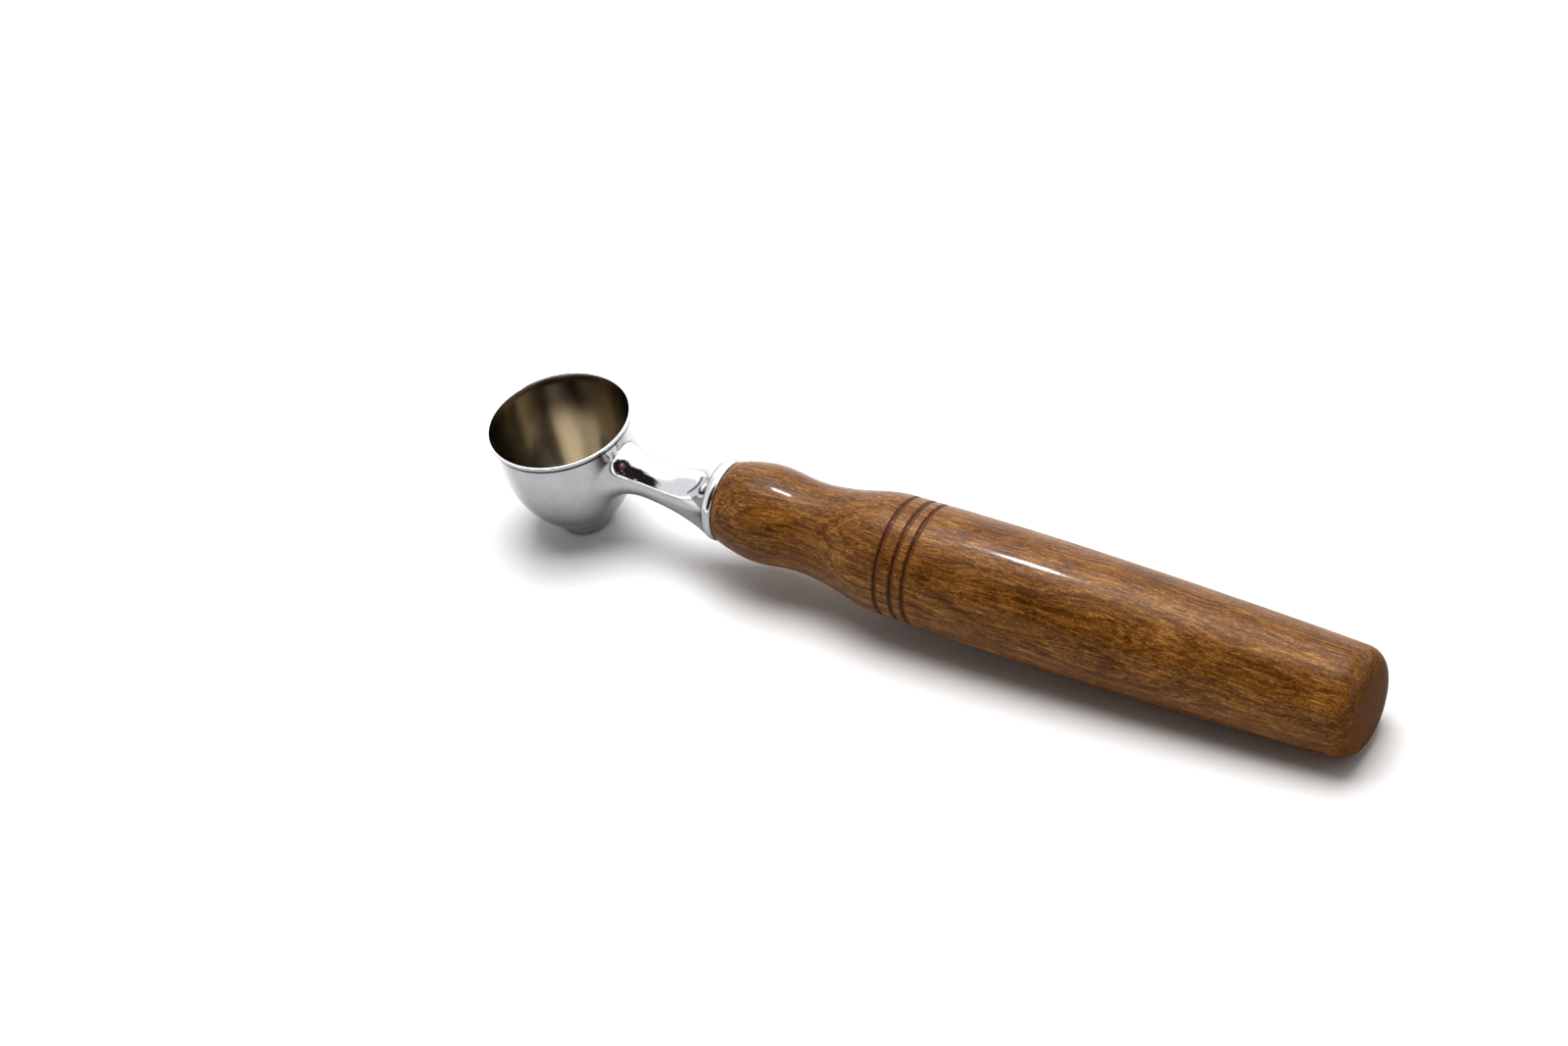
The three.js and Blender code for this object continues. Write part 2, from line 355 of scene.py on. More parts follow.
def groove_depth(away):
    """Depth of a turned V-groove with a rounded bottom, at a distance from its middle."""
    share = np.clip(1 - np.abs(away) / (GROOVE_WIDTH / 2), 0, 1)
    bottom_rounding, edge_sharpness = 1.7, 4
    return GROOVE_DEPTH * (1 - (1 - share) ** bottom_rounding) * np.clip(share * edge_sharpness, 0, 1)


def groove_burn_and_shade(away):
    """Friction burn and painted shade of a groove: brown all over, darkest at the bottom and the rear
    edge.
    """
    brown = 0.5 * np.exp(-(away / 0.92) ** 6)
    # The bottom, towards the front wall, and the rear edge are darkest: burn with painted shade over it
    bottom = 0.5 * np.exp(-((away + 0.30) / 0.34) ** 4)
    rear_edge = 0.4 * np.exp(-((away - 0.74) / 0.14) ** 2)
    return np.clip(brown + bottom + rear_edge, 0, 1)


def sanded_normals(outline, start):
    """Normals of an outline that ends on the axis, evened out from a station on as if sanded."""
    across = across_outline(outline)
    angle = np.arctan2(across[:, 1], across[:, 0])
    walk = np.append(0, np.cumsum(np.linalg.norm(np.diff(outline, axis=0), axis=1)))
    steps = np.gradient(walk)
    # The outline goes on over the axis and down the other side
    places = np.append(walk, 2 * walk[-1] - walk[::-1])
    weight = np.exp(-0.5 * ((places - walk[:, None]) / SANDED_EDGE) ** 2)
    weight *= np.append(steps, steps[::-1])
    even = weight @ np.append(angle, -angle[::-1]) / weight.sum(axis=1)
    angle = angle + (even - angle) * np.clip((outline[:, 0] - start) / SANDED_EDGE, 0, 1)
    return np.stack([np.cos(angle), np.sin(angle)], axis=1)


def butt_end(straight, radius):
    """The rounded corner and the slightly domed end face, from the handle's side to its axis."""
    corner = arc((straight, radius - BUTT_CORNER), (BUTT_CORNER, BUTT_CORNER), 90, 4, 24)[1:]
    face_station, face_radius = corner[-1]
    dome_radii = np.linspace(face_radius, 0, 16)[1:]
    dome_stations = HANDLE_LENGTH - (HANDLE_LENGTH - face_station) * (dome_radii / face_radius) ** 2
    return np.vstack([corner, np.stack([dome_stations, dome_radii], axis=1)])


def turned_wood(shape, outline, end_grain):
    """A plain turned face of the wood, with or without end grain."""
    fields = {"wood_burn": np.zeros(len(outline)), "end_grain": np.full(len(outline), end_grain)}
    turned(shape, outline, **fields)


def build_handle(wood):
    """The handle's outside, then its front face and the bore for the insert."""
    shape = Shape()
    stations, radii = handle_outline()
    # Each groove's friction burn, with painted shade in it
    burn = np.zeros(len(stations))
    for groove in GROOVES:
        radii = radii - groove_depth(stations - groove)
        burn = np.maximum(burn, groove_burn_and_shade(stations - groove))
    side = np.stack([stations, radii], axis=1)
    whole = np.vstack([side, butt_end(*side[-1])])
    across = sanded_normals(whole, side[-1, 0] - 2 * SANDED_EDGE)
    burn = np.append(burn, np.zeros(len(whole) - len(side)))
    # The grooves cut across the grain too, but their burn and painted shade hide it there
    bead_end, unmarked = 20, 0.01
    shows = (burn <= unmarked) & (whole[:, 0] > bead_end)
    end_grain = np.where(shows, np.clip(across[:, 0], 0, 1) ** 1.5, 0)
    turned(shape, whole, across=across, wood_burn=burn, end_grain=end_grain)
    mouth = HANDLE_BORE + BORE_CHAMFER
    turned_wood(shape, line([0, mouth], [0, FRONT_FACE_RADIUS], 6), 1.0)
    turned_wood(shape, line([BORE_CHAMFER, HANDLE_BORE], [0, mouth]), 1.0)
    turned_wood(shape, line([HANDLE_BORE_DEPTH, HANDLE_BORE], [BORE_CHAMFER, HANDLE_BORE], 12), 0.0)
    bottom = HANDLE_BORE_DEPTH + DRILL_POINT
    turned_wood(shape, line([bottom, 0], [HANDLE_BORE_DEPTH, HANDLE_BORE], 4), 1.0)
    return shape.object("handle_turned_wood", [wood])


# ---------------------------------------------------------------- threads, stud and insert


def thread_field(start, end, crest, root, inside=False):
    """Points and normals of a right-hand thread about the axis, between two stations."""
    first, last = math.floor(start / PITCH) - 1, math.ceil(end / PITCH) + 1
    base = np.array([
        ((number + share) * PITCH, root + (crest - root) * height)
        for number in range(first, last + 1)
        for share, height in THREAD_PROFILE
    ])
    angles = np.arange(THREAD_TURN + 1) * 2 * math.pi / THREAD_TURN
    x = base[:, :1] + PITCH * angles / (2 * math.pi)
    radius = np.repeat(base[:, 1:], THREAD_TURN + 1, axis=1)
    # A chamfer of 45 degrees at both ends
    chamfer = np.clip(np.minimum(x - start, end - x), 0, None)
    if inside:
        radius = np.maximum(radius, crest - chamfer)
    else:
        radius = np.minimum(radius, root + chamfer)
    x = np.clip(x, start, end)
    points = np.stack([x, radius * np.cos(angles), radius * np.sin(angles)], axis=-1)
    normals = np.cross(np.gradient(points, axis=0), np.gradient(points, axis=1))
    radial = np.stack([0 * x, np.cos(angles) + 0 * x, np.sin(angles) + 0 * x], axis=-1)
    flat = np.linalg.norm(normals, axis=-1, keepdims=True) < 1e-9
    normals = np.where(flat, radial, normals)
    wrong = np.sum(normals * radial, axis=-1, keepdims=True) < 0
    normals = np.where(wrong, -normals, normals)
    return points, -normals if inside else normals


def build_stud(steel):
    shape = Shape()
    start, end = STEM_END - STUD_IN_STEM, STUD_END
    points, normals = thread_field(start, end, STUD_RADIUS, STUD_ROOT)
    shape.grid(points, normals)
    turned(shape, line([start, 0], [start, STUD_ROOT], 3), turn=THREAD_TURN)
    turned(shape, line([end, STUD_ROOT], [end, 0], 3), turn=THREAD_TURN)
    return shape.object("stud_threaded_steel", [steel])


def build_insert(brass):
    """A sleeve with barbs outside and the stud's thread inside."""
    shape = Shape()
    barb = (INSERT_END - INSERT_START) / INSERT_BARBS
    barb_outline = ((-0.8, INSERT_WAIST), (-0.8, INSERT_RADIUS), (-0.6, INSERT_RADIUS), (0, INSERT_WAIST))
    outside = [[INSERT_START, INSERT_WAIST]]
    for number in reversed(range(INSERT_BARBS)):
        rear = INSERT_END - number * barb
        outside += [[rear + share * barb, radius] for share, radius in barb_outline]
    for a, b in zip(outside, outside[1:]):
        if a != b:
            turned(shape, line(a, b), turn=THREAD_TURN)
    crest = STUD_RADIUS + THREAD_CLEARANCE
    root = STUD_ROOT + THREAD_CLEARANCE
    points, normals = thread_field(INSERT_START, INSERT_END, crest, root, inside=True)
    shape.grid(points, normals)
    turned(shape, line([INSERT_START, crest], [INSERT_START, INSERT_WAIST], 2), turn=THREAD_TURN)
    turned(shape, line([INSERT_END, INSERT_WAIST], [INSERT_END, crest], 2), turn=THREAD_TURN)
    return shape.object("insert_tapped_brass", [brass])


# ---------------------------------------------------------------- collar ring


def build_ring(plating):
    """A crowned band that sinks in a shallow cove towards its front edge."""
    shape = Shape()
    rear_radius = RING_RADIUS - RING_REAR_ROUNDING
    rear = arc((RING_CROWN, rear_radius), (RING_REAR - RING_CROWN, RING_REAR_ROUNDING), 0, 90, 12)
    cove_pull = [RING_CROWN - RING_COVE, RING_RADIUS]
    cove_end = [RING_FRONT + RING_EDGE, RING_FRONT_RADIUS]
    cove = bezier([RING_CROWN, RING_RADIUS], cove_pull, cove_end, 13)
    front_radius = RING_FRONT_RADIUS - RING_EDGE
    front = arc((RING_FRONT + RING_EDGE, front_radius), (RING_EDGE, RING_EDGE), 90, 180, 6)
    turned(shape, np.vstack([rear, cove[1:], front[1:]])[::-1])
    turned(shape, line([RING_FRONT, RING_BORE], [RING_FRONT, front_radius], 4))
    turned(shape, line([RING_REAR, rear_radius], [RING_REAR, RING_BORE], 4))
    turned(shape, line([RING_REAR, RING_BORE], [RING_FRONT, RING_BORE], 3))
    return shape.object("collar_ring_polished", [plating])


# ---------------------------------------------------------------- bowl and stem

BOWL_UP = np.array([-math.sin(BOWL_LEAN), 0, math.cos(BOWL_LEAN)])
BOWL_OUT = np.array([math.cos(BOWL_LEAN), 0, math.sin(BOWL_LEAN)])
BOWL_SIDE = np.array([0.0, 1.0, 0.0])


def about_bowl(shape, outline, material=0):
    """A run of [depth below the rim, radius] points turned about the bowl's axis."""
    outline = np.asarray(outline, float)
    across = across_outline(outline)
    c, s = circle()
    out = BOWL_OUT * c[:, None] + BOWL_SIDE * s[:, None]
    points = RIM_CENTRE - outline[:, None, :1] * BOWL_UP + outline[:, None, 1:] * out
    normals = -across[:, None, :1] * BOWL_UP + across[:, None, 1:] * out
    around = np.broadcast_to(BOWL_SIDE * c[:, None] - BOWL_OUT * s[:, None], points.shape)
    depth = np.repeat(outline[:, :1], len(c), axis=1)
    bowl_mm = np.stack([outline[:, 1:] * c, outline[:, 1:] * s, depth], axis=-1)
    spin = unit(around @ TO_ROW[:3, :3].T)
    shape.grid(points, normals, around=True, material=material, spin=spin, bowl_mm=bowl_mm)


def superellipse(depth, radius, start, end, steps):
    """[depth, radius] points of the bowl's curve, between two of its angles."""
    t = np.linspace(start, end, steps + 1)
    depths = depth * np.sin(t) ** (2 / BOWL_FULLNESS)
    radii = radius * np.clip(np.cos(t), 0, 1) ** (2 / BOWL_ROUNDNESS)
    return np.stack([depths, radii], axis=1)


def angle_at(down, depth):
    """The angle at which the bowl's curve of a depth has gone down so far."""
    return math.asin((down / depth) ** (BOWL_FULLNESS / 2))


def bowl_wall_radius(down):
    return BOWL_RADIUS * (1 - (down / BOWL_DEPTH) ** BOWL_FULLNESS) ** (1 / BOWL_ROUNDNESS)


def lip_outline():
    """[depth, radius] points over the rolled lip, from the cavity's edge to the outside wall."""
    below = LIP_HEIGHT + 0.1
    inner, outer, wall = LIP_INNER_RADIUS, LIP_OUTER_RADIUS, bowl_wall_radius(LIP_HEIGHT)
    return np.vstack([
        bezier([0.9, inner - 0.12], [0.0, inner], [0.0, inner + LIP_ROUNDING], 6),
        bezier([0.0, outer - LIP_ROUNDING], [0.0, outer], [0.42, outer], 8),
        bezier([0.62, outer], [1.0, outer], [1.12, outer - 0.2], 6),
        bezier([1.16, wall + 0.12], [1.2, wall], [below, bowl_wall_radius(below)], 4),
    ])


def bowl_shell(shape):
    """Lip, outside wall, foot and its flat, then the cavity."""
    lip = lip_outline()
    wall_start, wall_end = angle_at(WALL_TOP, BOWL_DEPTH), angle_at(FOOT_FILLET_START, BOWL_DEPTH)
    wall = superellipse(BOWL_DEPTH, BOWL_RADIUS, wall_start, wall_end, 96)
    tangent = wall[-1] - wall[-2]
    corner = wall[-1] + tangent * (FOOT_RADIUS - wall[-1, 1]) / tangent[1]
    fillet = bezier(wall[-1], corner, [FOOT_TOP, FOOT_RADIUS], 14)[1:]
    edge_depth, flat_radius = BOWL_DEPTH - FOOT_EDGE, FOOT_RADIUS - FOOT_EDGE
    foot_side = line([FOOT_TOP + 0.3, FOOT_RADIUS], [edge_depth, FOOT_RADIUS], 3)
    foot_edge = arc((edge_depth, flat_radius), (FOOT_EDGE, FOOT_EDGE), 90, 0, 6)[1:]
    about_bowl(shape, np.vstack([lip, wall, fillet, foot_side, foot_edge]))
    about_bowl(shape, line([BOWL_DEPTH, flat_radius], [BOWL_DEPTH, 0], 10))
    cavity_end = angle_at(2.2, CAVITY_DEPTH)
    cavity = superellipse(CAVITY_DEPTH, CAVITY_RADIUS, math.pi / 2, cavity_end, 110)
    flare = bezier(cavity[-1], [1.5, LIP_INNER_RADIUS - 0.3], lip[0], 6)[1:]
    about_bowl(shape, np.vstack([cavity, flare]), material=1)


def stem_radius(station):
    """The stem's radius: a flare towards the ring, a waist and a swelling towards the bowl."""
    to_end = np.clip((station - WAIST_STATION) / (STEM_END - WAIST_STATION), 0, 1)
    to_root = np.clip((WAIST_STATION - station) / (WAIST_STATION - STEM_ROOT), 0, 2)
    flare = (STEM_END_RADIUS - WAIST_RADIUS) * to_end**STEM_FLARE_POWER
    root = (STEM_ROOT_RADIUS - WAIST_RADIUS) * to_root**2
    return WAIST_RADIUS + flare + root


def stem_sag(station):
    """How far the stem's middle lies below the axis, most at a third of the way from the ring."""
    share = np.clip((STEM_END - station) / (STEM_END - STEM_ROOT), 0, 1)
    return STEM_SAG * (27 / 4) * share * (1 - share) ** 2


def stem_point(station, angle):
    """A point of the stem's own outline, at an angle from the top."""
    radius = stem_radius(station)
    z = radius * np.cos(angle) - stem_sag(station)
    return np.stack([station + 0 * radius, radius * np.sin(angle), z], axis=-1)


def bowl_level(point):
    """Below 0 inside the bowl's outer wall and above 0 outside it, with depth and direction."""
    away = point - RIM_CENTRE
    down = -np.sum(away * BOWL_UP, axis=-1)
    flat = away + down[..., None] * BOWL_UP
    wall = bowl_wall_radius(np.clip(down, 0, BOWL_DEPTH - 0.1))
    return np.linalg.norm(flat, axis=-1) - wall, down, unit(flat)


def bowl_normal(point):
    _, down, out = bowl_level(point)
    small = 0.01
    slope = (bowl_wall_radius(down + small) - bowl_wall_radius(down - small)) / (2 * small)
    return unit(out + slope[..., None] * BOWL_UP)


def wall_station(y, z):
    """Where a line along the handle's axis meets the side of the bowl nearest the handle."""
    in_bowl, in_stem, halvings = -54.0, -20.0, 40
    low, high = np.full(np.shape(y), in_bowl), np.full(np.shape(y), in_stem)
    for _ in range(halvings):
        middle = (low + high) / 2
        level, _, _ = bowl_level(np.stack([middle, y, z], axis=-1))
        low, high = np.where(level < 0, middle, low), np.where(level < 0, high, middle)
    return (low + high) / 2


def skin_landing(angles):
    """Where the lines of the stem's skin land on the bowl's wall, at angles from the top."""
    up = np.cos(angles)
    radius = LANDING + LANDING_SIDE * np.sin(angles) ** 2
    radius += np.where(up > 0, LANDING_TOP, LANDING_BOTTOM) * up**2
    root_sag = stem_sag(-37.0)
    y, z = radius * np.sin(angles), radius * up - root_sag
    _, down, out = bowl_level(np.stack([wall_station(y, z), y, z], axis=-1))
    down = np.maximum(down, WALL_TOP)
    return RIM_CENTRE - down[:, None] * BOWL_UP + bowl_wall_radius(down)[:, None] * out


def skin_normals(rows):
    """Normals of the stem's skin, away from its sagging middle."""
    wrapped = np.concatenate([rows[:, -1:], rows, rows[:, :1]], axis=1)
    normals = np.cross(np.gradient(wrapped, axis=1), np.gradient(wrapped, axis=0))[:, 1:-1]
    station = rows[..., 0]
    centre_line = np.stack([station, 0 * station, -stem_sag(station)], axis=-1)
    wrong = np.sum(normals * (rows - centre_line), axis=-1, keepdims=True) < 0
    return unit(np.where(wrong, -normals, normals))


def stem_shell(shape):
    """The stem's skin, which runs tangent onto the bowl's wall, and its end face with the tapped hole."""
    angles = np.arange(TURN) * 2 * math.pi / TURN
    leave = SKIRT_STATION - SKIRT_TOP_SHIFT * (1 + np.cos(angles)) / 2
    start = stem_point(leave, angles)
    land = skin_landing(angles)
    wall_normal = bowl_normal(land)
    small = 0.05
    along = unit(stem_point(leave - small, angles) - stem_point(leave + small, angles))
    reach = np.sum((land - start) * wall_normal, axis=-1) / np.sum(along * wall_normal, axis=-1)
    bend = start + along * reach[:, None]
    share = np.linspace(0, 1, 60)[:, None]
    stem_rows = stem_point(STEM_END + (leave - STEM_END) * share, angles + 0 * share)
    t = np.linspace(0, 1, 41)[1:, None, None]
    skirt = (1 - t) ** 2 * start + 2 * t * (1 - t) * bend + t**2 * land
    rows = np.concatenate([stem_rows, skirt])
    normals = skin_normals(rows)
    normals[-1] = wall_normal
    shape.grid(rows, normals, around=True)
    # The skin's edge turns down into the wall
    edge_depth = 0.45
    inward = land - wall_normal * edge_depth
    shape.grid(np.stack([land, inward]), np.stack([wall_normal, wall_normal]), around=True)
    hole = STUD_RADIUS + THREAD_CLEARANCE
    bottom = STEM_END - STUD_IN_STEM - 0.3
    turned(shape, line([STEM_END, STEM_END_RADIUS], [STEM_END, hole], 4))
    turned(shape, line([STEM_END, hole], [bottom, hole], 4))
    turned(shape, line([bottom, hole], [bottom, 0], 2))


def build_scoop(plating, satin):
    shape = Shape()
    bowl_shell(shape)
    stem_shell(shape)
    return shape.object("scoop_bowl_and_stem", [plating, satin])


# ---------------------------------------------------------------- materials


class Nodes:
    """A material's node tree, with one call per node. Colours are linear."""

    def __init__(self, owner):
        owner.use_nodes = True
        self.tree = owner.node_tree
        self.tree.nodes.clear()

    def add(self, kind, sockets=(), out=0, **settings):
        """A new node's output, or the node itself with out=None."""
        node = self.tree.nodes.new("ShaderNode" + kind)
        for key, value in settings.items():
            setattr(node, key, value)
        for key, value in dict(sockets).items():
            self.feed(node.inputs[key], value)
        return node.outputs[out] if out is not None else node

    def feed(self, socket, value):
        if isinstance(value, bpy.types.NodeSocket):
            self.tree.links.new(value, socket)
        else:
            socket.default_value = value

    def math(self, operation, a, b=0.0, clamp=False):
        return self.add("Math", {0: a, 1: b}, operation=operation, use_clamp=clamp)

    def vector(self, operation, a, b=(0, 0, 0)):
        out = 1 if operation in ("LENGTH", "DOT_PRODUCT") else 0
        return self.add("VectorMath", {0: a, 1: b}, out=out, operation=operation)

    def scaled(self, vector, factors):
        return self.vector("MULTIPLY", vector, factors)

    def split(self, vector, axis):
        return self.add("SeparateXYZ", {0: vector}, out="XYZ".index(axis))

    def mix(self, share, a, b):
        """Colour a, and colour b where the share is 1."""
        return self.add("Mix", {0: share, 6: a, 7: b}, out=2, data_type="RGBA")

    def noise(self, vector, scale=1.0, detail=2.0, roughness=0.5, dimensions="3D", out=0):
        """Noise around 0.5. With out=1 it is a vector."""
        place = {"W": vector} if dimensions == "1D" else {"Vector": vector}
        place.update({"Scale": scale, "Detail": detail, "Roughness": roughness})
        return self.add("TexNoise", place, out=out, noise_dimensions=dimensions)

    def wander(self, vector, reach, detail=2.0, scale=1.0):
        """A vector that wanders both ways, up to about half of reach."""
        noise = self.noise(vector, scale=scale, detail=detail, out=1)
        return self.scaled(self.vector("SUBTRACT", noise, (0.5, 0.5, 0.5)), reach)

    def span(self, value, low, high, to_low=0.0, to_high=1.0, smooth=True):
        """A value's way from low to high, as a way from to_low to to_high."""
        kind = "SMOOTHSTEP" if smooth else "LINEAR"
        sockets = {"Value": value, "From Min": low, "From Max": high, "To Min": to_low, "To Max": to_high}
        return self.add("MapRange", sockets, interpolation_type=kind)

    def field(self, name, scalar=False):
        """One of the mesh's attributes."""
        return self.add("Attribute", out=2 if scalar else 1, attribute_name=name)

    def light_path(self, name):
        return self.add("LightPath", out=name)

    def principled(self, sockets):
        shader = self.add("BsdfPrincipled", sockets)
        self.add("OutputMaterial", {"Surface": shader}, out=None)


PITH = (0.0, 34.0, -26.0)
# How strongly each kind of grain shows in the wood's tone, and the tones that the ramp spans
GRAIN_WEIGHTS = {
    "rings": 0.34, "fine_rings": 0.27, "fibres": 0.85, "flecks": 1.15,
    "lines": 0.62, "hairs": 0.45, "mottle": 0.38,
}
TONE_DARK, TONE_LIGHT = 1.70, 2.40
WOOD_COLOURS = (
    (0.0, (0.025, 0.0072, 0.0012, 1)),
    (0.28, (0.070, 0.0230, 0.0036, 1)),
    (0.50, (0.142, 0.0515, 0.0082, 1)),
    (0.72, (0.250, 0.104, 0.020, 1)),
    (1.0, (0.450, 0.228, 0.062, 1)),
)
PORE_COLOUR = (0.022, 0.007, 0.002, 1)
END_GRAIN_COLOUR = (0.075, 0.027, 0.006, 1)
SCORCHED, CHARRED_AND_SHADED = (0.070, 0.019, 0.006, 1), (0.016, 0.004, 0.001, 1)


def wood_grain(n, place):
    """The kinds of grain, each a value around 0.5, and the pores, from 0 to 1."""
    # Slow wander of the grain, so that its lines aren't straight
    wander = n.wander(n.scaled(place, (0.018, 0.05, 0.05)), (26.0, 13.0, 13.0))
    moved = n.vector("ADD", place, wander)
    # Growth rings round a pith that lies outside the handle
    ring_distance = n.vector("LENGTH", n.scaled(n.vector("SUBTRACT", moved, PITH), (0.09, 1.0, 1.0)))
    rings = n.noise(ring_distance, scale=0.42, detail=4.0, roughness=0.62, dimensions="1D")
    fine_rings = n.noise(ring_distance, scale=2.3, detail=3.0, roughness=0.6, dimensions="1D")
    # Fibres and pores, long in x
    fibre_place = n.vector("ADD", place, n.wander(n.scaled(place, (0.10, 0.16, 0.16)), (3.0, 3.0, 3.0)))
    grain = {
        "rings": rings,
        "fine_rings": fine_rings,
        "fibres": n.noise(n.scaled(fibre_place, (0.16, 2.3, 2.3)), detail=4.0, roughness=0.72),
        "flecks": n.noise(n.scaled(fibre_place, (0.85, 4.6, 4.6)), detail=3.0, roughness=0.8),
        "lines": n.noise(n.scaled(moved, (0.03, 1.1, 1.1)), detail=3.0, roughness=0.6),
        "hairs": n.noise(n.scaled(moved, (0.05, 2.9, 2.9)), detail=2.0, roughness=0.6),
        "mottle": n.noise(n.scaled(moved, (0.07, 0.11, 0.11)), detail=3.0, roughness=0.6),
    }
    return grain, n.span(n.noise(n.scaled(fibre_place, (0.42, 4.2, 4.2))), 0.58, 0.70)


def wood_colour(n, grain):
    """The sum of the grain's values, turned into colour by a ramp."""
    tone = 0.0
    for name, weight in GRAIN_WEIGHTS.items():
        tone = n.math("ADD", tone, n.math("MULTIPLY", grain[name], weight))
    ramp = n.add("ValToRGB", {0: n.span(tone, TONE_DARK, TONE_LIGHT, smooth=False)}, out=None)
    elements = ramp.color_ramp.elements
    while len(elements) < len(WOOD_COLOURS):
        elements.new(0.5)
    for element, (position, colour) in zip(elements, WOOD_COLOURS):
        element.position, element.color = position, colour
    return ramp.outputs[0]


def wood_material():
    """Figured hardwood with pores, grooves scorched and darkened with painted shade, and a thin, slightly
    wavy lacquer.
    """
    material = bpy.data.materials.new("figured_wood_lacquered")
    n = Nodes(material)
    place = n.field("own_mm")
    grain, pores = wood_grain(n, place)
    colour = n.mix(n.math("MULTIPLY", pores, 0.6), wood_colour(n, grain), PORE_COLOUR)
    end = n.field("end_grain", scalar=True)
    colour = n.mix(n.math("MULTIPLY", end, 0.5), colour, END_GRAIN_COLOUR)
    ragged = n.span(n.noise(n.scaled(place, (1.2, 0.7, 0.7)), detail=3.0), 0.25, 0.75, 0.75, 1.1)
    # Burn in the grooves, with painted shade: brown, then near black at the bottom and the rear edge
    burn = n.math("MULTIPLY", n.field("wood_burn", scalar=True), ragged, clamp=True)
    colour = n.mix(n.span(burn, 0.0, 0.5, 0.0, 0.72), colour, SCORCHED)
    colour = n.mix(n.span(burn, 0.5, 1.0, 0.0, 0.85), colour, CHARRED_AND_SHADED)
    smudge = n.noise(place, scale=0.07, detail=3.0)
    roughness = n.span(smudge, 0.3, 0.7, 0.29, 0.37)
    for value, rougher in ((pores, 0.12), (burn, 0.2), (end, 0.04)):
        roughness = n.math("ADD", roughness, n.math("MULTIPLY", value, rougher))
    height = n.math("ADD", n.math("MULTIPLY", grain["fibres"], 0.5), n.math("MULTIPLY", pores, -0.6))
    bump = n.add("Bump", {"Height": height, "Strength": 0.45, "Distance": 0.00009})
    waves = n.noise(n.scaled(place, (0.10, 0.35, 0.35)), detail=1.0)
    waves = n.math("ADD", waves, n.math("MULTIPLY", grain["fibres"], 0.10))
    lacquer = n.add("Bump", {"Height": waves, "Strength": 0.20, "Distance": 0.00010})
    n.principled({
        "Base Color": colour, "Roughness": roughness, "Normal": bump, "IOR": 1.45,
        "Specular IOR Level": 0.05, "Specular Tint": (1.0, 0.84, 0.62, 1),
        "Coat Weight": 0.34, "Coat Roughness": 0.10, "Coat IOR": 1.26, "Coat Normal": lacquer,
    })
    return material


def plating_material():
    """Bright plating with soft clouds of wear, and a painted line of shade under the lip."""
    material = bpy.data.materials.new("bright_plating")
    n = Nodes(material)
    place = n.field("own_mm")
    cloud = n.noise(place, scale=0.16, detail=4.0, roughness=0.6)
    speck = n.noise(place, scale=2.6, detail=2.0)
    roughness = n.span(cloud, 0.3, 0.75, 0.035, 0.085)
    roughness = n.math("ADD", roughness, n.span(speck, 0.55, 0.8, 0.0, 0.05))
    colour = n.mix(n.span(cloud, 0.35, 0.7), (0.53, 0.54, 0.56, 1), (0.59, 0.595, 0.605, 1))
    # Fine haze of polishing marks and dust
    haze = n.noise(place, scale=2.4, detail=3.0, roughness=0.75)
    colour = n.mix(n.span(haze, 0.35, 0.70, 0.0, 0.42), colour, (0.33, 0.335, 0.345, 1))
    # A painted line of shade on the wall under the lip
    depth = n.split(n.field("bowl_mm"), "Z")
    painted_lip_shade = n.math("MULTIPLY", n.span(depth, 0.92, 1.06), n.span(depth, 2.15, 1.75))
    colour = n.mix(n.math("MULTIPLY", painted_lip_shade, 0.96), colour, (0.018, 0.014, 0.012, 1))
    ripple = n.noise(place, scale=0.30, detail=2.0)
    height = n.math("ADD", ripple, n.math("MULTIPLY", speck, 0.04))
    bump = n.add("Bump", {"Height": height, "Strength": 0.30, "Distance": 0.00003})
    n.principled({"Base Color": colour, "Metallic": 1.0, "Roughness": roughness, "Normal": bump})
    return material


# Coffee is tipped out over this side of the lip, in the bowl's own directions
STAIN_SIDE = (-0.52, 0.854, 0.0)


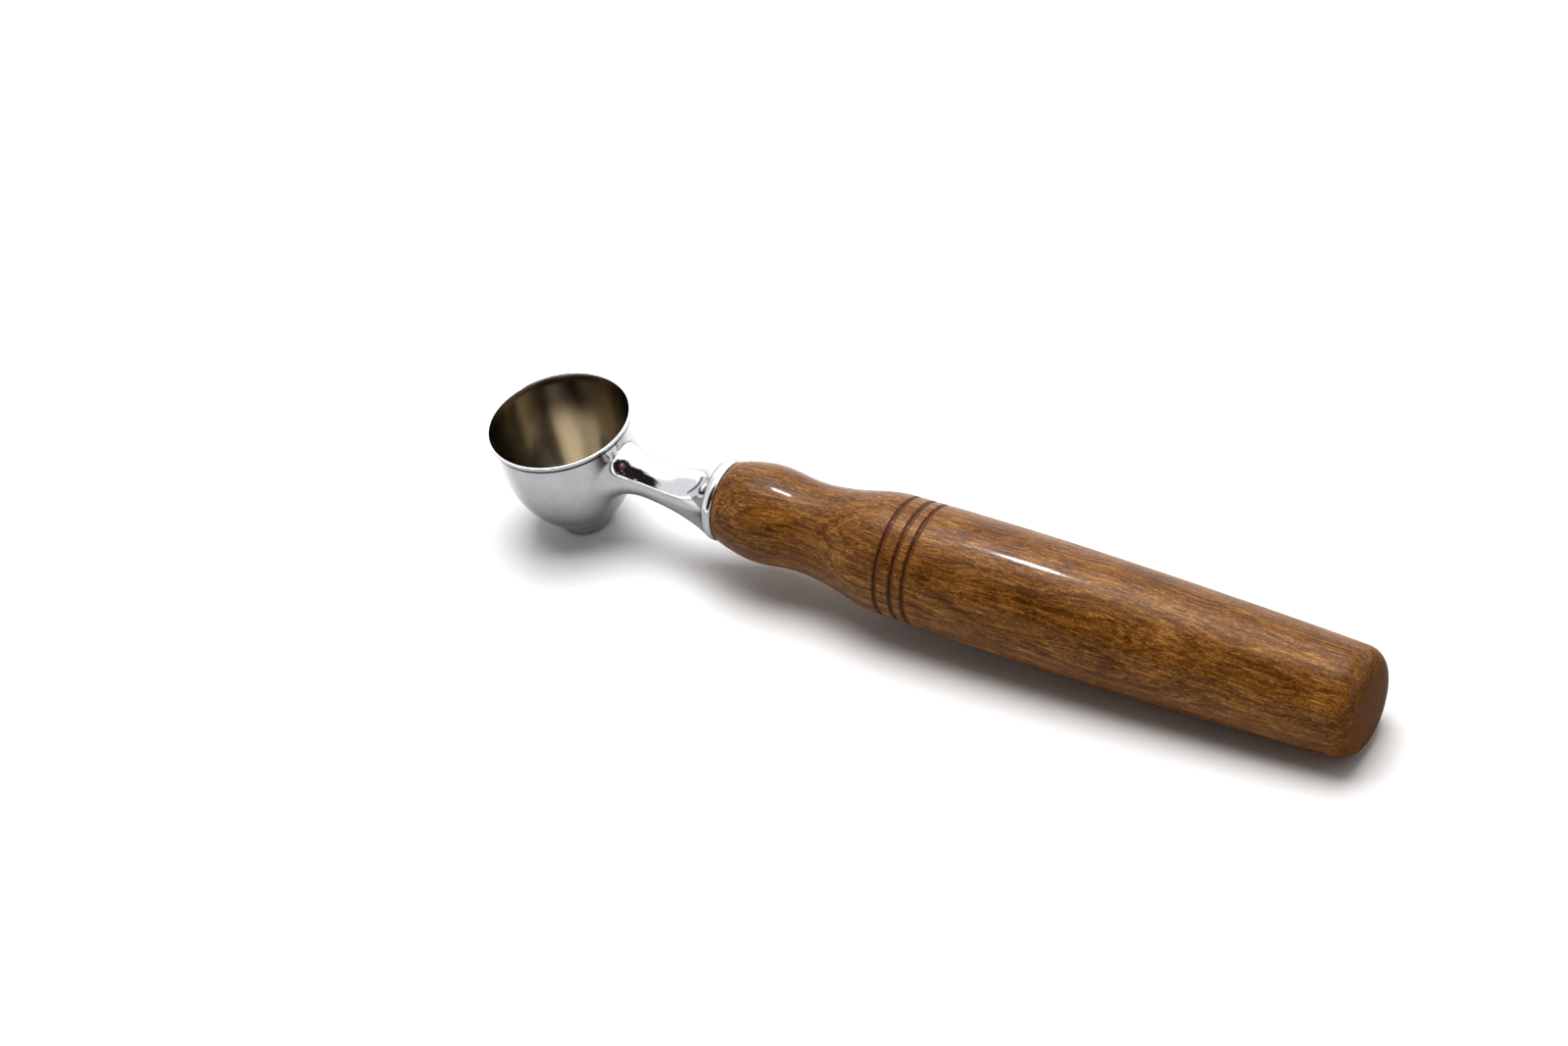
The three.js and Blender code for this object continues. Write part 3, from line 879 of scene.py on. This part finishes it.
def satin_material():
    """The bowl's inside: drawn metal, polished up and down, stained by coffee, with painted shade towards
    the lip.
    """
    material = bpy.data.materials.new("satin_inside")
    n = Nodes(material)
    place = n.field("bowl_mm")
    brushed = n.noise(n.scaled(place, (0.25, 0.25, 5.0)), detail=3.0, roughness=0.6)
    cloud = n.noise(n.scaled(place, (0.14, 0.14, 0.05)), detail=3.0, roughness=0.55)
    speck = n.noise(place, scale=1.6, detail=3.0, roughness=0.7)
    colour = n.mix(n.span(cloud, 0.3, 0.7), (0.32, 0.280, 0.212, 1), (0.39, 0.346, 0.270, 1))
    colour = n.mix(n.span(speck, 0.55, 0.8, 0.0, 0.35), colour, (0.22, 0.185, 0.13, 1))
    # Painted shade: darker towards the lip
    depth = n.split(place, "Z")
    colour = n.mix(n.span(depth, 16.0, 3.0, 0.0, 0.30), colour, (0.15, 0.125, 0.095, 1))
    # A brown stain where the bowl is emptied over its lip
    level = n.vector("NORMALIZE", n.scaled(place, (1, 1, 0)))
    side = n.vector("DOT_PRODUCT", level, STAIN_SIDE)
    stain = n.math("MULTIPLY", n.span(side, 0.72, 0.97), n.span(depth, 18.0, 8.0))
    stain = n.math("MULTIPLY", stain, n.span(cloud, 0.2, 0.55, 0.75, 0.92))
    colour = n.mix(stain, colour, (0.050, 0.040, 0.032, 1))
    roughness = n.span(cloud, 0.3, 0.7, 0.15, 0.19)
    roughness = n.math("ADD", roughness, n.span(brushed, 0.3, 0.7, -0.015, 0.025))
    height = n.math("ADD", n.math("MULTIPLY", brushed, 0.6), n.math("MULTIPLY", speck, 0.5))
    bump = n.add("Bump", {"Height": height, "Strength": 0.25, "Distance": 0.00004})
    to_world = {"vector_type": "VECTOR", "convert_from": "OBJECT", "convert_to": "WORLD"}
    tangent = n.add("VectorTransform", {0: n.field("spin")}, **to_world)
    n.principled({
        "Base Color": colour, "Metallic": 1.0, "Roughness": roughness, "Normal": bump,
        "Anisotropic": 0.60, "Anisotropic Rotation": 0.25, "Tangent": tangent,
    })
    return material


def machined_material(name, low, high, rough):
    """Cut metal with fine turning marks."""
    material = bpy.data.materials.new(name)
    n = Nodes(material)
    place = n.field("own_mm")
    cloud = n.noise(place, scale=0.5, detail=4.0, roughness=0.65)
    marks = n.noise(n.scaled(place, (14.0, 0.4, 0.4)))
    colour = n.mix(n.span(cloud, 0.3, 0.7), low, high)
    roughness = n.span(marks, 0.3, 0.7, rough - 0.07, rough + 0.07)
    roughness = n.math("ADD", roughness, n.span(cloud, 0.4, 0.8, 0.0, 0.1))
    bump = n.add("Bump", {"Height": marks, "Strength": 0.4, "Distance": 0.00002})
    n.principled({"Base Color": colour, "Metallic": 1.0, "Roughness": roughness, "Normal": bump})
    return material


# ---------------------------------------------------------------- the set

# Metres and degrees
AIM = Vector((-0.04404, 0, 0.02137))
CAMERA_DISTANCE = 1.3835
CAMERA_AZIMUTH = 37.48
CAMERA_ELEVATION = 42.43
CAMERA_ROLL = -11.28
LENS = 112.5
SENSOR = 36.0

KEY_DIRECTION = (200, 77.5)
KEY_DISTANCE = 1.3
KEY_SIZE = 1.05
KEY_POWER = 26
STRIP_TOWARDS = (-0.0676, 0.119, 0.424)
STRIP_DISTANCE = 0.4455
STRIP_SIZE = 0.03
STRIP_POWER = 1.5
STRIP_AXIS = (0.2, -0.9, 0.3)

# The room: white, with a dark side towards the camera, and brighter in reflections than as a light
ROOM_STRENGTH = 2.1
ROOM_FILL = 0.55
ROOM_WARMTH = (1.0, 0.955, 0.925, 1)
DARK_COLOUR = (0.014, 0.010, 0.010, 1)
# Dark parts: azimuth of the middle, half width, lower edge and upper edge in degrees, and darkness.
# The first two are seen in a first reflection, the last one in the bowl's repeated reflections.
DARK_PARTS = (
    (23, 56, (4, 8), (66, 76), 1.0),
    (-62, 46, (3, 8), (46, 60), 0.38),
    (-9, 103, (24, 30), (52, 62), 0.96),
)
DARK_SIDE_BLUR = 5
DARK_SIDE_UNEVENNESS = (0.30, 0.30, 0.22)
# A patch of rose in the dark side
ROSE_COLOUR = (0.120, 0.050, 0.058, 1)
ROSE_DIRECTION = (46, 43)
ROSE_RADIUS, ROSE_CORE = 15, 7
# Lamps in the dark side, one in about half of the cells
SPARKLE_COLOUR = (1.0, 0.93, 0.82, 1)
SPARKLE_SCALE = 7.0
SPARKLE_STRENGTH = 2.4
SPARKLE_EDGE, SPARKLE_CORE = 0.26, 0.15
SPARKLES_LEFT_OUT = 0.55
# A bright window high behind the object
GLOW_DIRECTION = (212, 66)
GLOW_RADIUS = 34
GLOW_CORE_COSINE = 0.995
GLOW_STRENGTH = 7.0

# How bright the floor is in reflections: in front of the object, behind it and beyond its butt
MIRRORED_FRONT = 0.56
MIRRORED_BACK = 0.97
MIRRORED_END = 0.12
BACK_WAY = (-0.8, 1.0, 0.0)
BACK_START, BACK_FULL = 0.08, 0.12
END_START, END_FULL = 0.125, 0.14
FLOOR_HALF = 4.0


def direction(azimuth, elevation):
    """The unit vector towards an azimuth, in degrees from -Y towards +X, and an elevation."""
    a, e = math.radians(azimuth), math.radians(elevation)
    return Vector((math.sin(a) * math.cos(e), -math.cos(a) * math.cos(e), math.sin(e)))


def looking(place, aim, roll=0.0):
    """The matrix of a camera or lamp at a place that looks at a point."""
    back = (place - aim).normalized()
    right = Vector((0, 0, 1)).cross(back).normalized()
    up = back.cross(right)
    c, s = math.cos(math.radians(roll)), math.sin(math.radians(roll))
    right, up = right * c + up * s, up * c - right * s
    turn = Matrix((right, up, back)).transposed().to_4x4()
    return Matrix.Translation(place) @ turn


def add_camera():
    data = bpy.data.cameras.new("camera")
    data.lens, data.sensor_width = LENS, SENSOR
    data.clip_start, data.clip_end = 0.05, 20.0
    camera = bpy.data.objects.new("camera", data)
    place = AIM + direction(CAMERA_AZIMUTH, CAMERA_ELEVATION) * CAMERA_DISTANCE
    camera.matrix_world = looking(place, AIM, CAMERA_ROLL)
    bpy.context.scene.collection.objects.link(camera)
    bpy.context.scene.camera = camera


def add_lamp(name, towards, distance, width, length, power, long_axis=(0, 0, 1)):
    """A rectangular soft light in a direction from the aim, its length along long_axis."""
    data = bpy.data.lights.new(name, "AREA")
    data.shape, data.size, data.size_y, data.energy = "RECTANGLE", width, length, power
    back = Vector(towards).normalized()
    right = Vector(long_axis).cross(back).normalized()
    turn = Matrix((right, back.cross(right), back)).transposed().to_4x4()
    lamp = bpy.data.objects.new(name, data)
    lamp.matrix_world = Matrix.Translation(AIM + back * distance) @ turn
    lamp.visible_camera = False
    bpy.context.scene.collection.objects.link(lamp)
    return lamp


def grey(value):
    return (value, value, value, 1)


def add_floor():
    """A white table, which reflections on the object show darker in front and beyond the butt."""
    corners = [(x * FLOOR_HALF, y * FLOOR_HALF, 0) for x, y in ((-1, -1), (1, -1), (1, 1), (-1, 1))]
    mesh = bpy.data.meshes.new("floor")
    mesh.from_pydata(corners, [], [(0, 1, 2, 3)])
    floor = bpy.data.objects.new("floor", mesh)
    bpy.context.scene.collection.objects.link(floor)
    material = bpy.data.materials.new("white_table")
    n = Nodes(material)
    place = n.add("TexCoord", out=3)
    colour = n.mix(n.noise(place, scale=6.0), grey(0.90), grey(0.93))
    behind = n.vector("DOT_PRODUCT", place, BACK_WAY)
    mirrored = n.mix(n.span(behind, BACK_START, BACK_FULL), grey(MIRRORED_FRONT), grey(MIRRORED_BACK))
    beyond = n.split(place, "X")
    mirrored = n.mix(n.span(beyond, END_START, END_FULL), mirrored, grey(MIRRORED_END))
    colour = n.mix(n.light_path("Is Glossy Ray"), colour, mirrored)
    n.principled({"Base Color": colour, "Roughness": 0.8, "Specular IOR Level": 0.0})
    mesh.materials.append(material)


def sine(degrees):
    return math.sin(math.radians(degrees))


def cosine(degrees):
    return math.cos(math.radians(degrees))


def dark_part(n, towards, middle, half_width, lower, upper, darkness):
    """How far a direction lies in one dark part of the room."""
    height = n.split(towards, "Z")
    level = n.vector("NORMALIZE", n.scaled(towards, (1, 1, 0)))
    facing = n.vector("DOT_PRODUCT", level, tuple(direction(middle, 0)))
    outer, inner = cosine(half_width + DARK_SIDE_BLUR), cosine(half_width - DARK_SIDE_BLUR)
    share = n.span(facing, outer, inner, 0.0, darkness)
    share = n.math("MULTIPLY", share, n.span(height, sine(lower[0]), sine(lower[1])))
    return n.math("MULTIPLY", share, n.span(height, sine(upper[1]), sine(upper[0])))


def dark_share(n, towards):
    """How far a direction lies in the dark side, for first and for repeated reflections."""
    # Furniture and people give the dark side an uneven outline
    uneven = n.wander(towards, DARK_SIDE_UNEVENNESS, scale=3.0)
    uneven = n.vector("NORMALIZE", n.vector("ADD", towards, uneven))
    near, low, deep = (dark_part(n, uneven, *part) for part in DARK_PARTS)
    first = n.math("LESS_THAN", n.light_path("Glossy Depth"), 1.5)
    seen_first = n.math("MULTIPLY", n.math("MAXIMUM", near, low), first)
    seen_later = n.math("MULTIPLY", deep, n.math("SUBTRACT", 1.0, first))
    return n.math("ADD", seen_first, seen_later)


def sparkles(n, towards):
    """The lamps of the dark side."""
    cells = n.add("TexVoronoi", {"Vector": towards, "Scale": SPARKLE_SCALE}, out=None)
    lamp = n.span(cells.outputs["Distance"], SPARKLE_EDGE, SPARKLE_CORE)
    chance = n.add("SeparateColor", {0: cells.outputs["Color"]})
    lit = n.math("MULTIPLY", lamp, n.math("GREATER_THAN", chance, SPARKLES_LEFT_OUT))
    return n.math("MULTIPLY", lit, SPARKLE_STRENGTH / ROOM_STRENGTH)


def add_world():
    """A white room with a darker side behind the camera, above the table's edge."""
    world = bpy.data.worlds.new("studio")
    bpy.context.scene.world = world
    n = Nodes(world)
    towards = n.vector("NORMALIZE", n.add("TexCoord"))
    mirror = n.light_path("Is Glossy Ray")
    rose = n.vector("DOT_PRODUCT", towards, tuple(direction(*ROSE_DIRECTION)))
    dark = n.mix(n.span(rose, cosine(ROSE_RADIUS), cosine(ROSE_CORE)), DARK_COLOUR, ROSE_COLOUR)
    share = dark_share(n, towards)
    colour = n.mix(share, n.mix(mirror, ROOM_WARMTH, grey(1.0)), dark)
    sparkle = n.math("MULTIPLY", sparkles(n, towards), share, clamp=True)
    colour = n.mix(sparkle, colour, SPARKLE_COLOUR)
    near_glow = n.vector("DOT_PRODUCT", towards, tuple(direction(*GLOW_DIRECTION)))
    glow = n.span(near_glow, cosine(GLOW_RADIUS), GLOW_CORE_COSINE, 0.0, GLOW_STRENGTH)
    brighter = n.math("ADD", glow, ROOM_STRENGTH - ROOM_FILL)
    strength = n.math("ADD", ROOM_FILL, n.math("MULTIPLY", mirror, brighter))
    room = n.add("Background", {0: colour, 1: strength})
    plain = n.add("Background", {0: grey(1.0), 1: 1.0})
    shader = n.add("MixShader", {0: n.light_path("Is Camera Ray"), 1: room, 2: plain})
    n.add("OutputWorld", {0: shader}, out=None)


# ---------------------------------------------------------------- putting it together

wood = wood_material()
plating = plating_material()
satin = satin_material()
steel = machined_material("zinc_plated_steel", (0.42, 0.43, 0.45, 1), (0.58, 0.59, 0.61, 1), 0.30)
brass = machined_material("cut_brass", (0.60, 0.42, 0.16, 1), (0.80, 0.60, 0.27, 1), 0.28)

# Each piece with its body, the CAD node that it replaces and the record's material slot
pieces = (
    (build_handle(wood), "handle_body", "handle", "handle_wood"),
    (build_insert(brass), "handle_body", "threaded_insert", "insert_brass"),
    (build_ring(plating), "collar", "collar_ring", "polished_plating"),
    (build_scoop(plating, satin), "scoop", "scoop_casting", "polished_plating"),
    (build_stud(steel), "scoop", "threaded_stud", "stud_steel"),
)
for piece, body, node, slot in pieces:
    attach(piece, body)
    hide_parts(node)

cad_materials = {
    "handle": wood,
    "threaded_insert": brass,
    "collar_ring": plating,
    "scoop_casting": plating,
    "threaded_stud": steel,
}
for node, material in cad_materials.items():
    cad = frame["nodes"][node]
    cad.data.materials.clear()
    cad.data.materials.append(material)

add_camera()
add_floor()
add_world()
key = add_lamp("key_softbox", direction(*KEY_DIRECTION), KEY_DISTANCE, KEY_SIZE, KEY_SIZE, KEY_POWER)
key.visible_glossy = False
strip = add_lamp(
    "strip_light", STRIP_TOWARDS, STRIP_DISTANCE, STRIP_SIZE, STRIP_SIZE, STRIP_POWER, long_axis=STRIP_AXIS
)
strip.visible_diffuse = False
bpy.context.scene.view_settings.view_transform = "Standard"
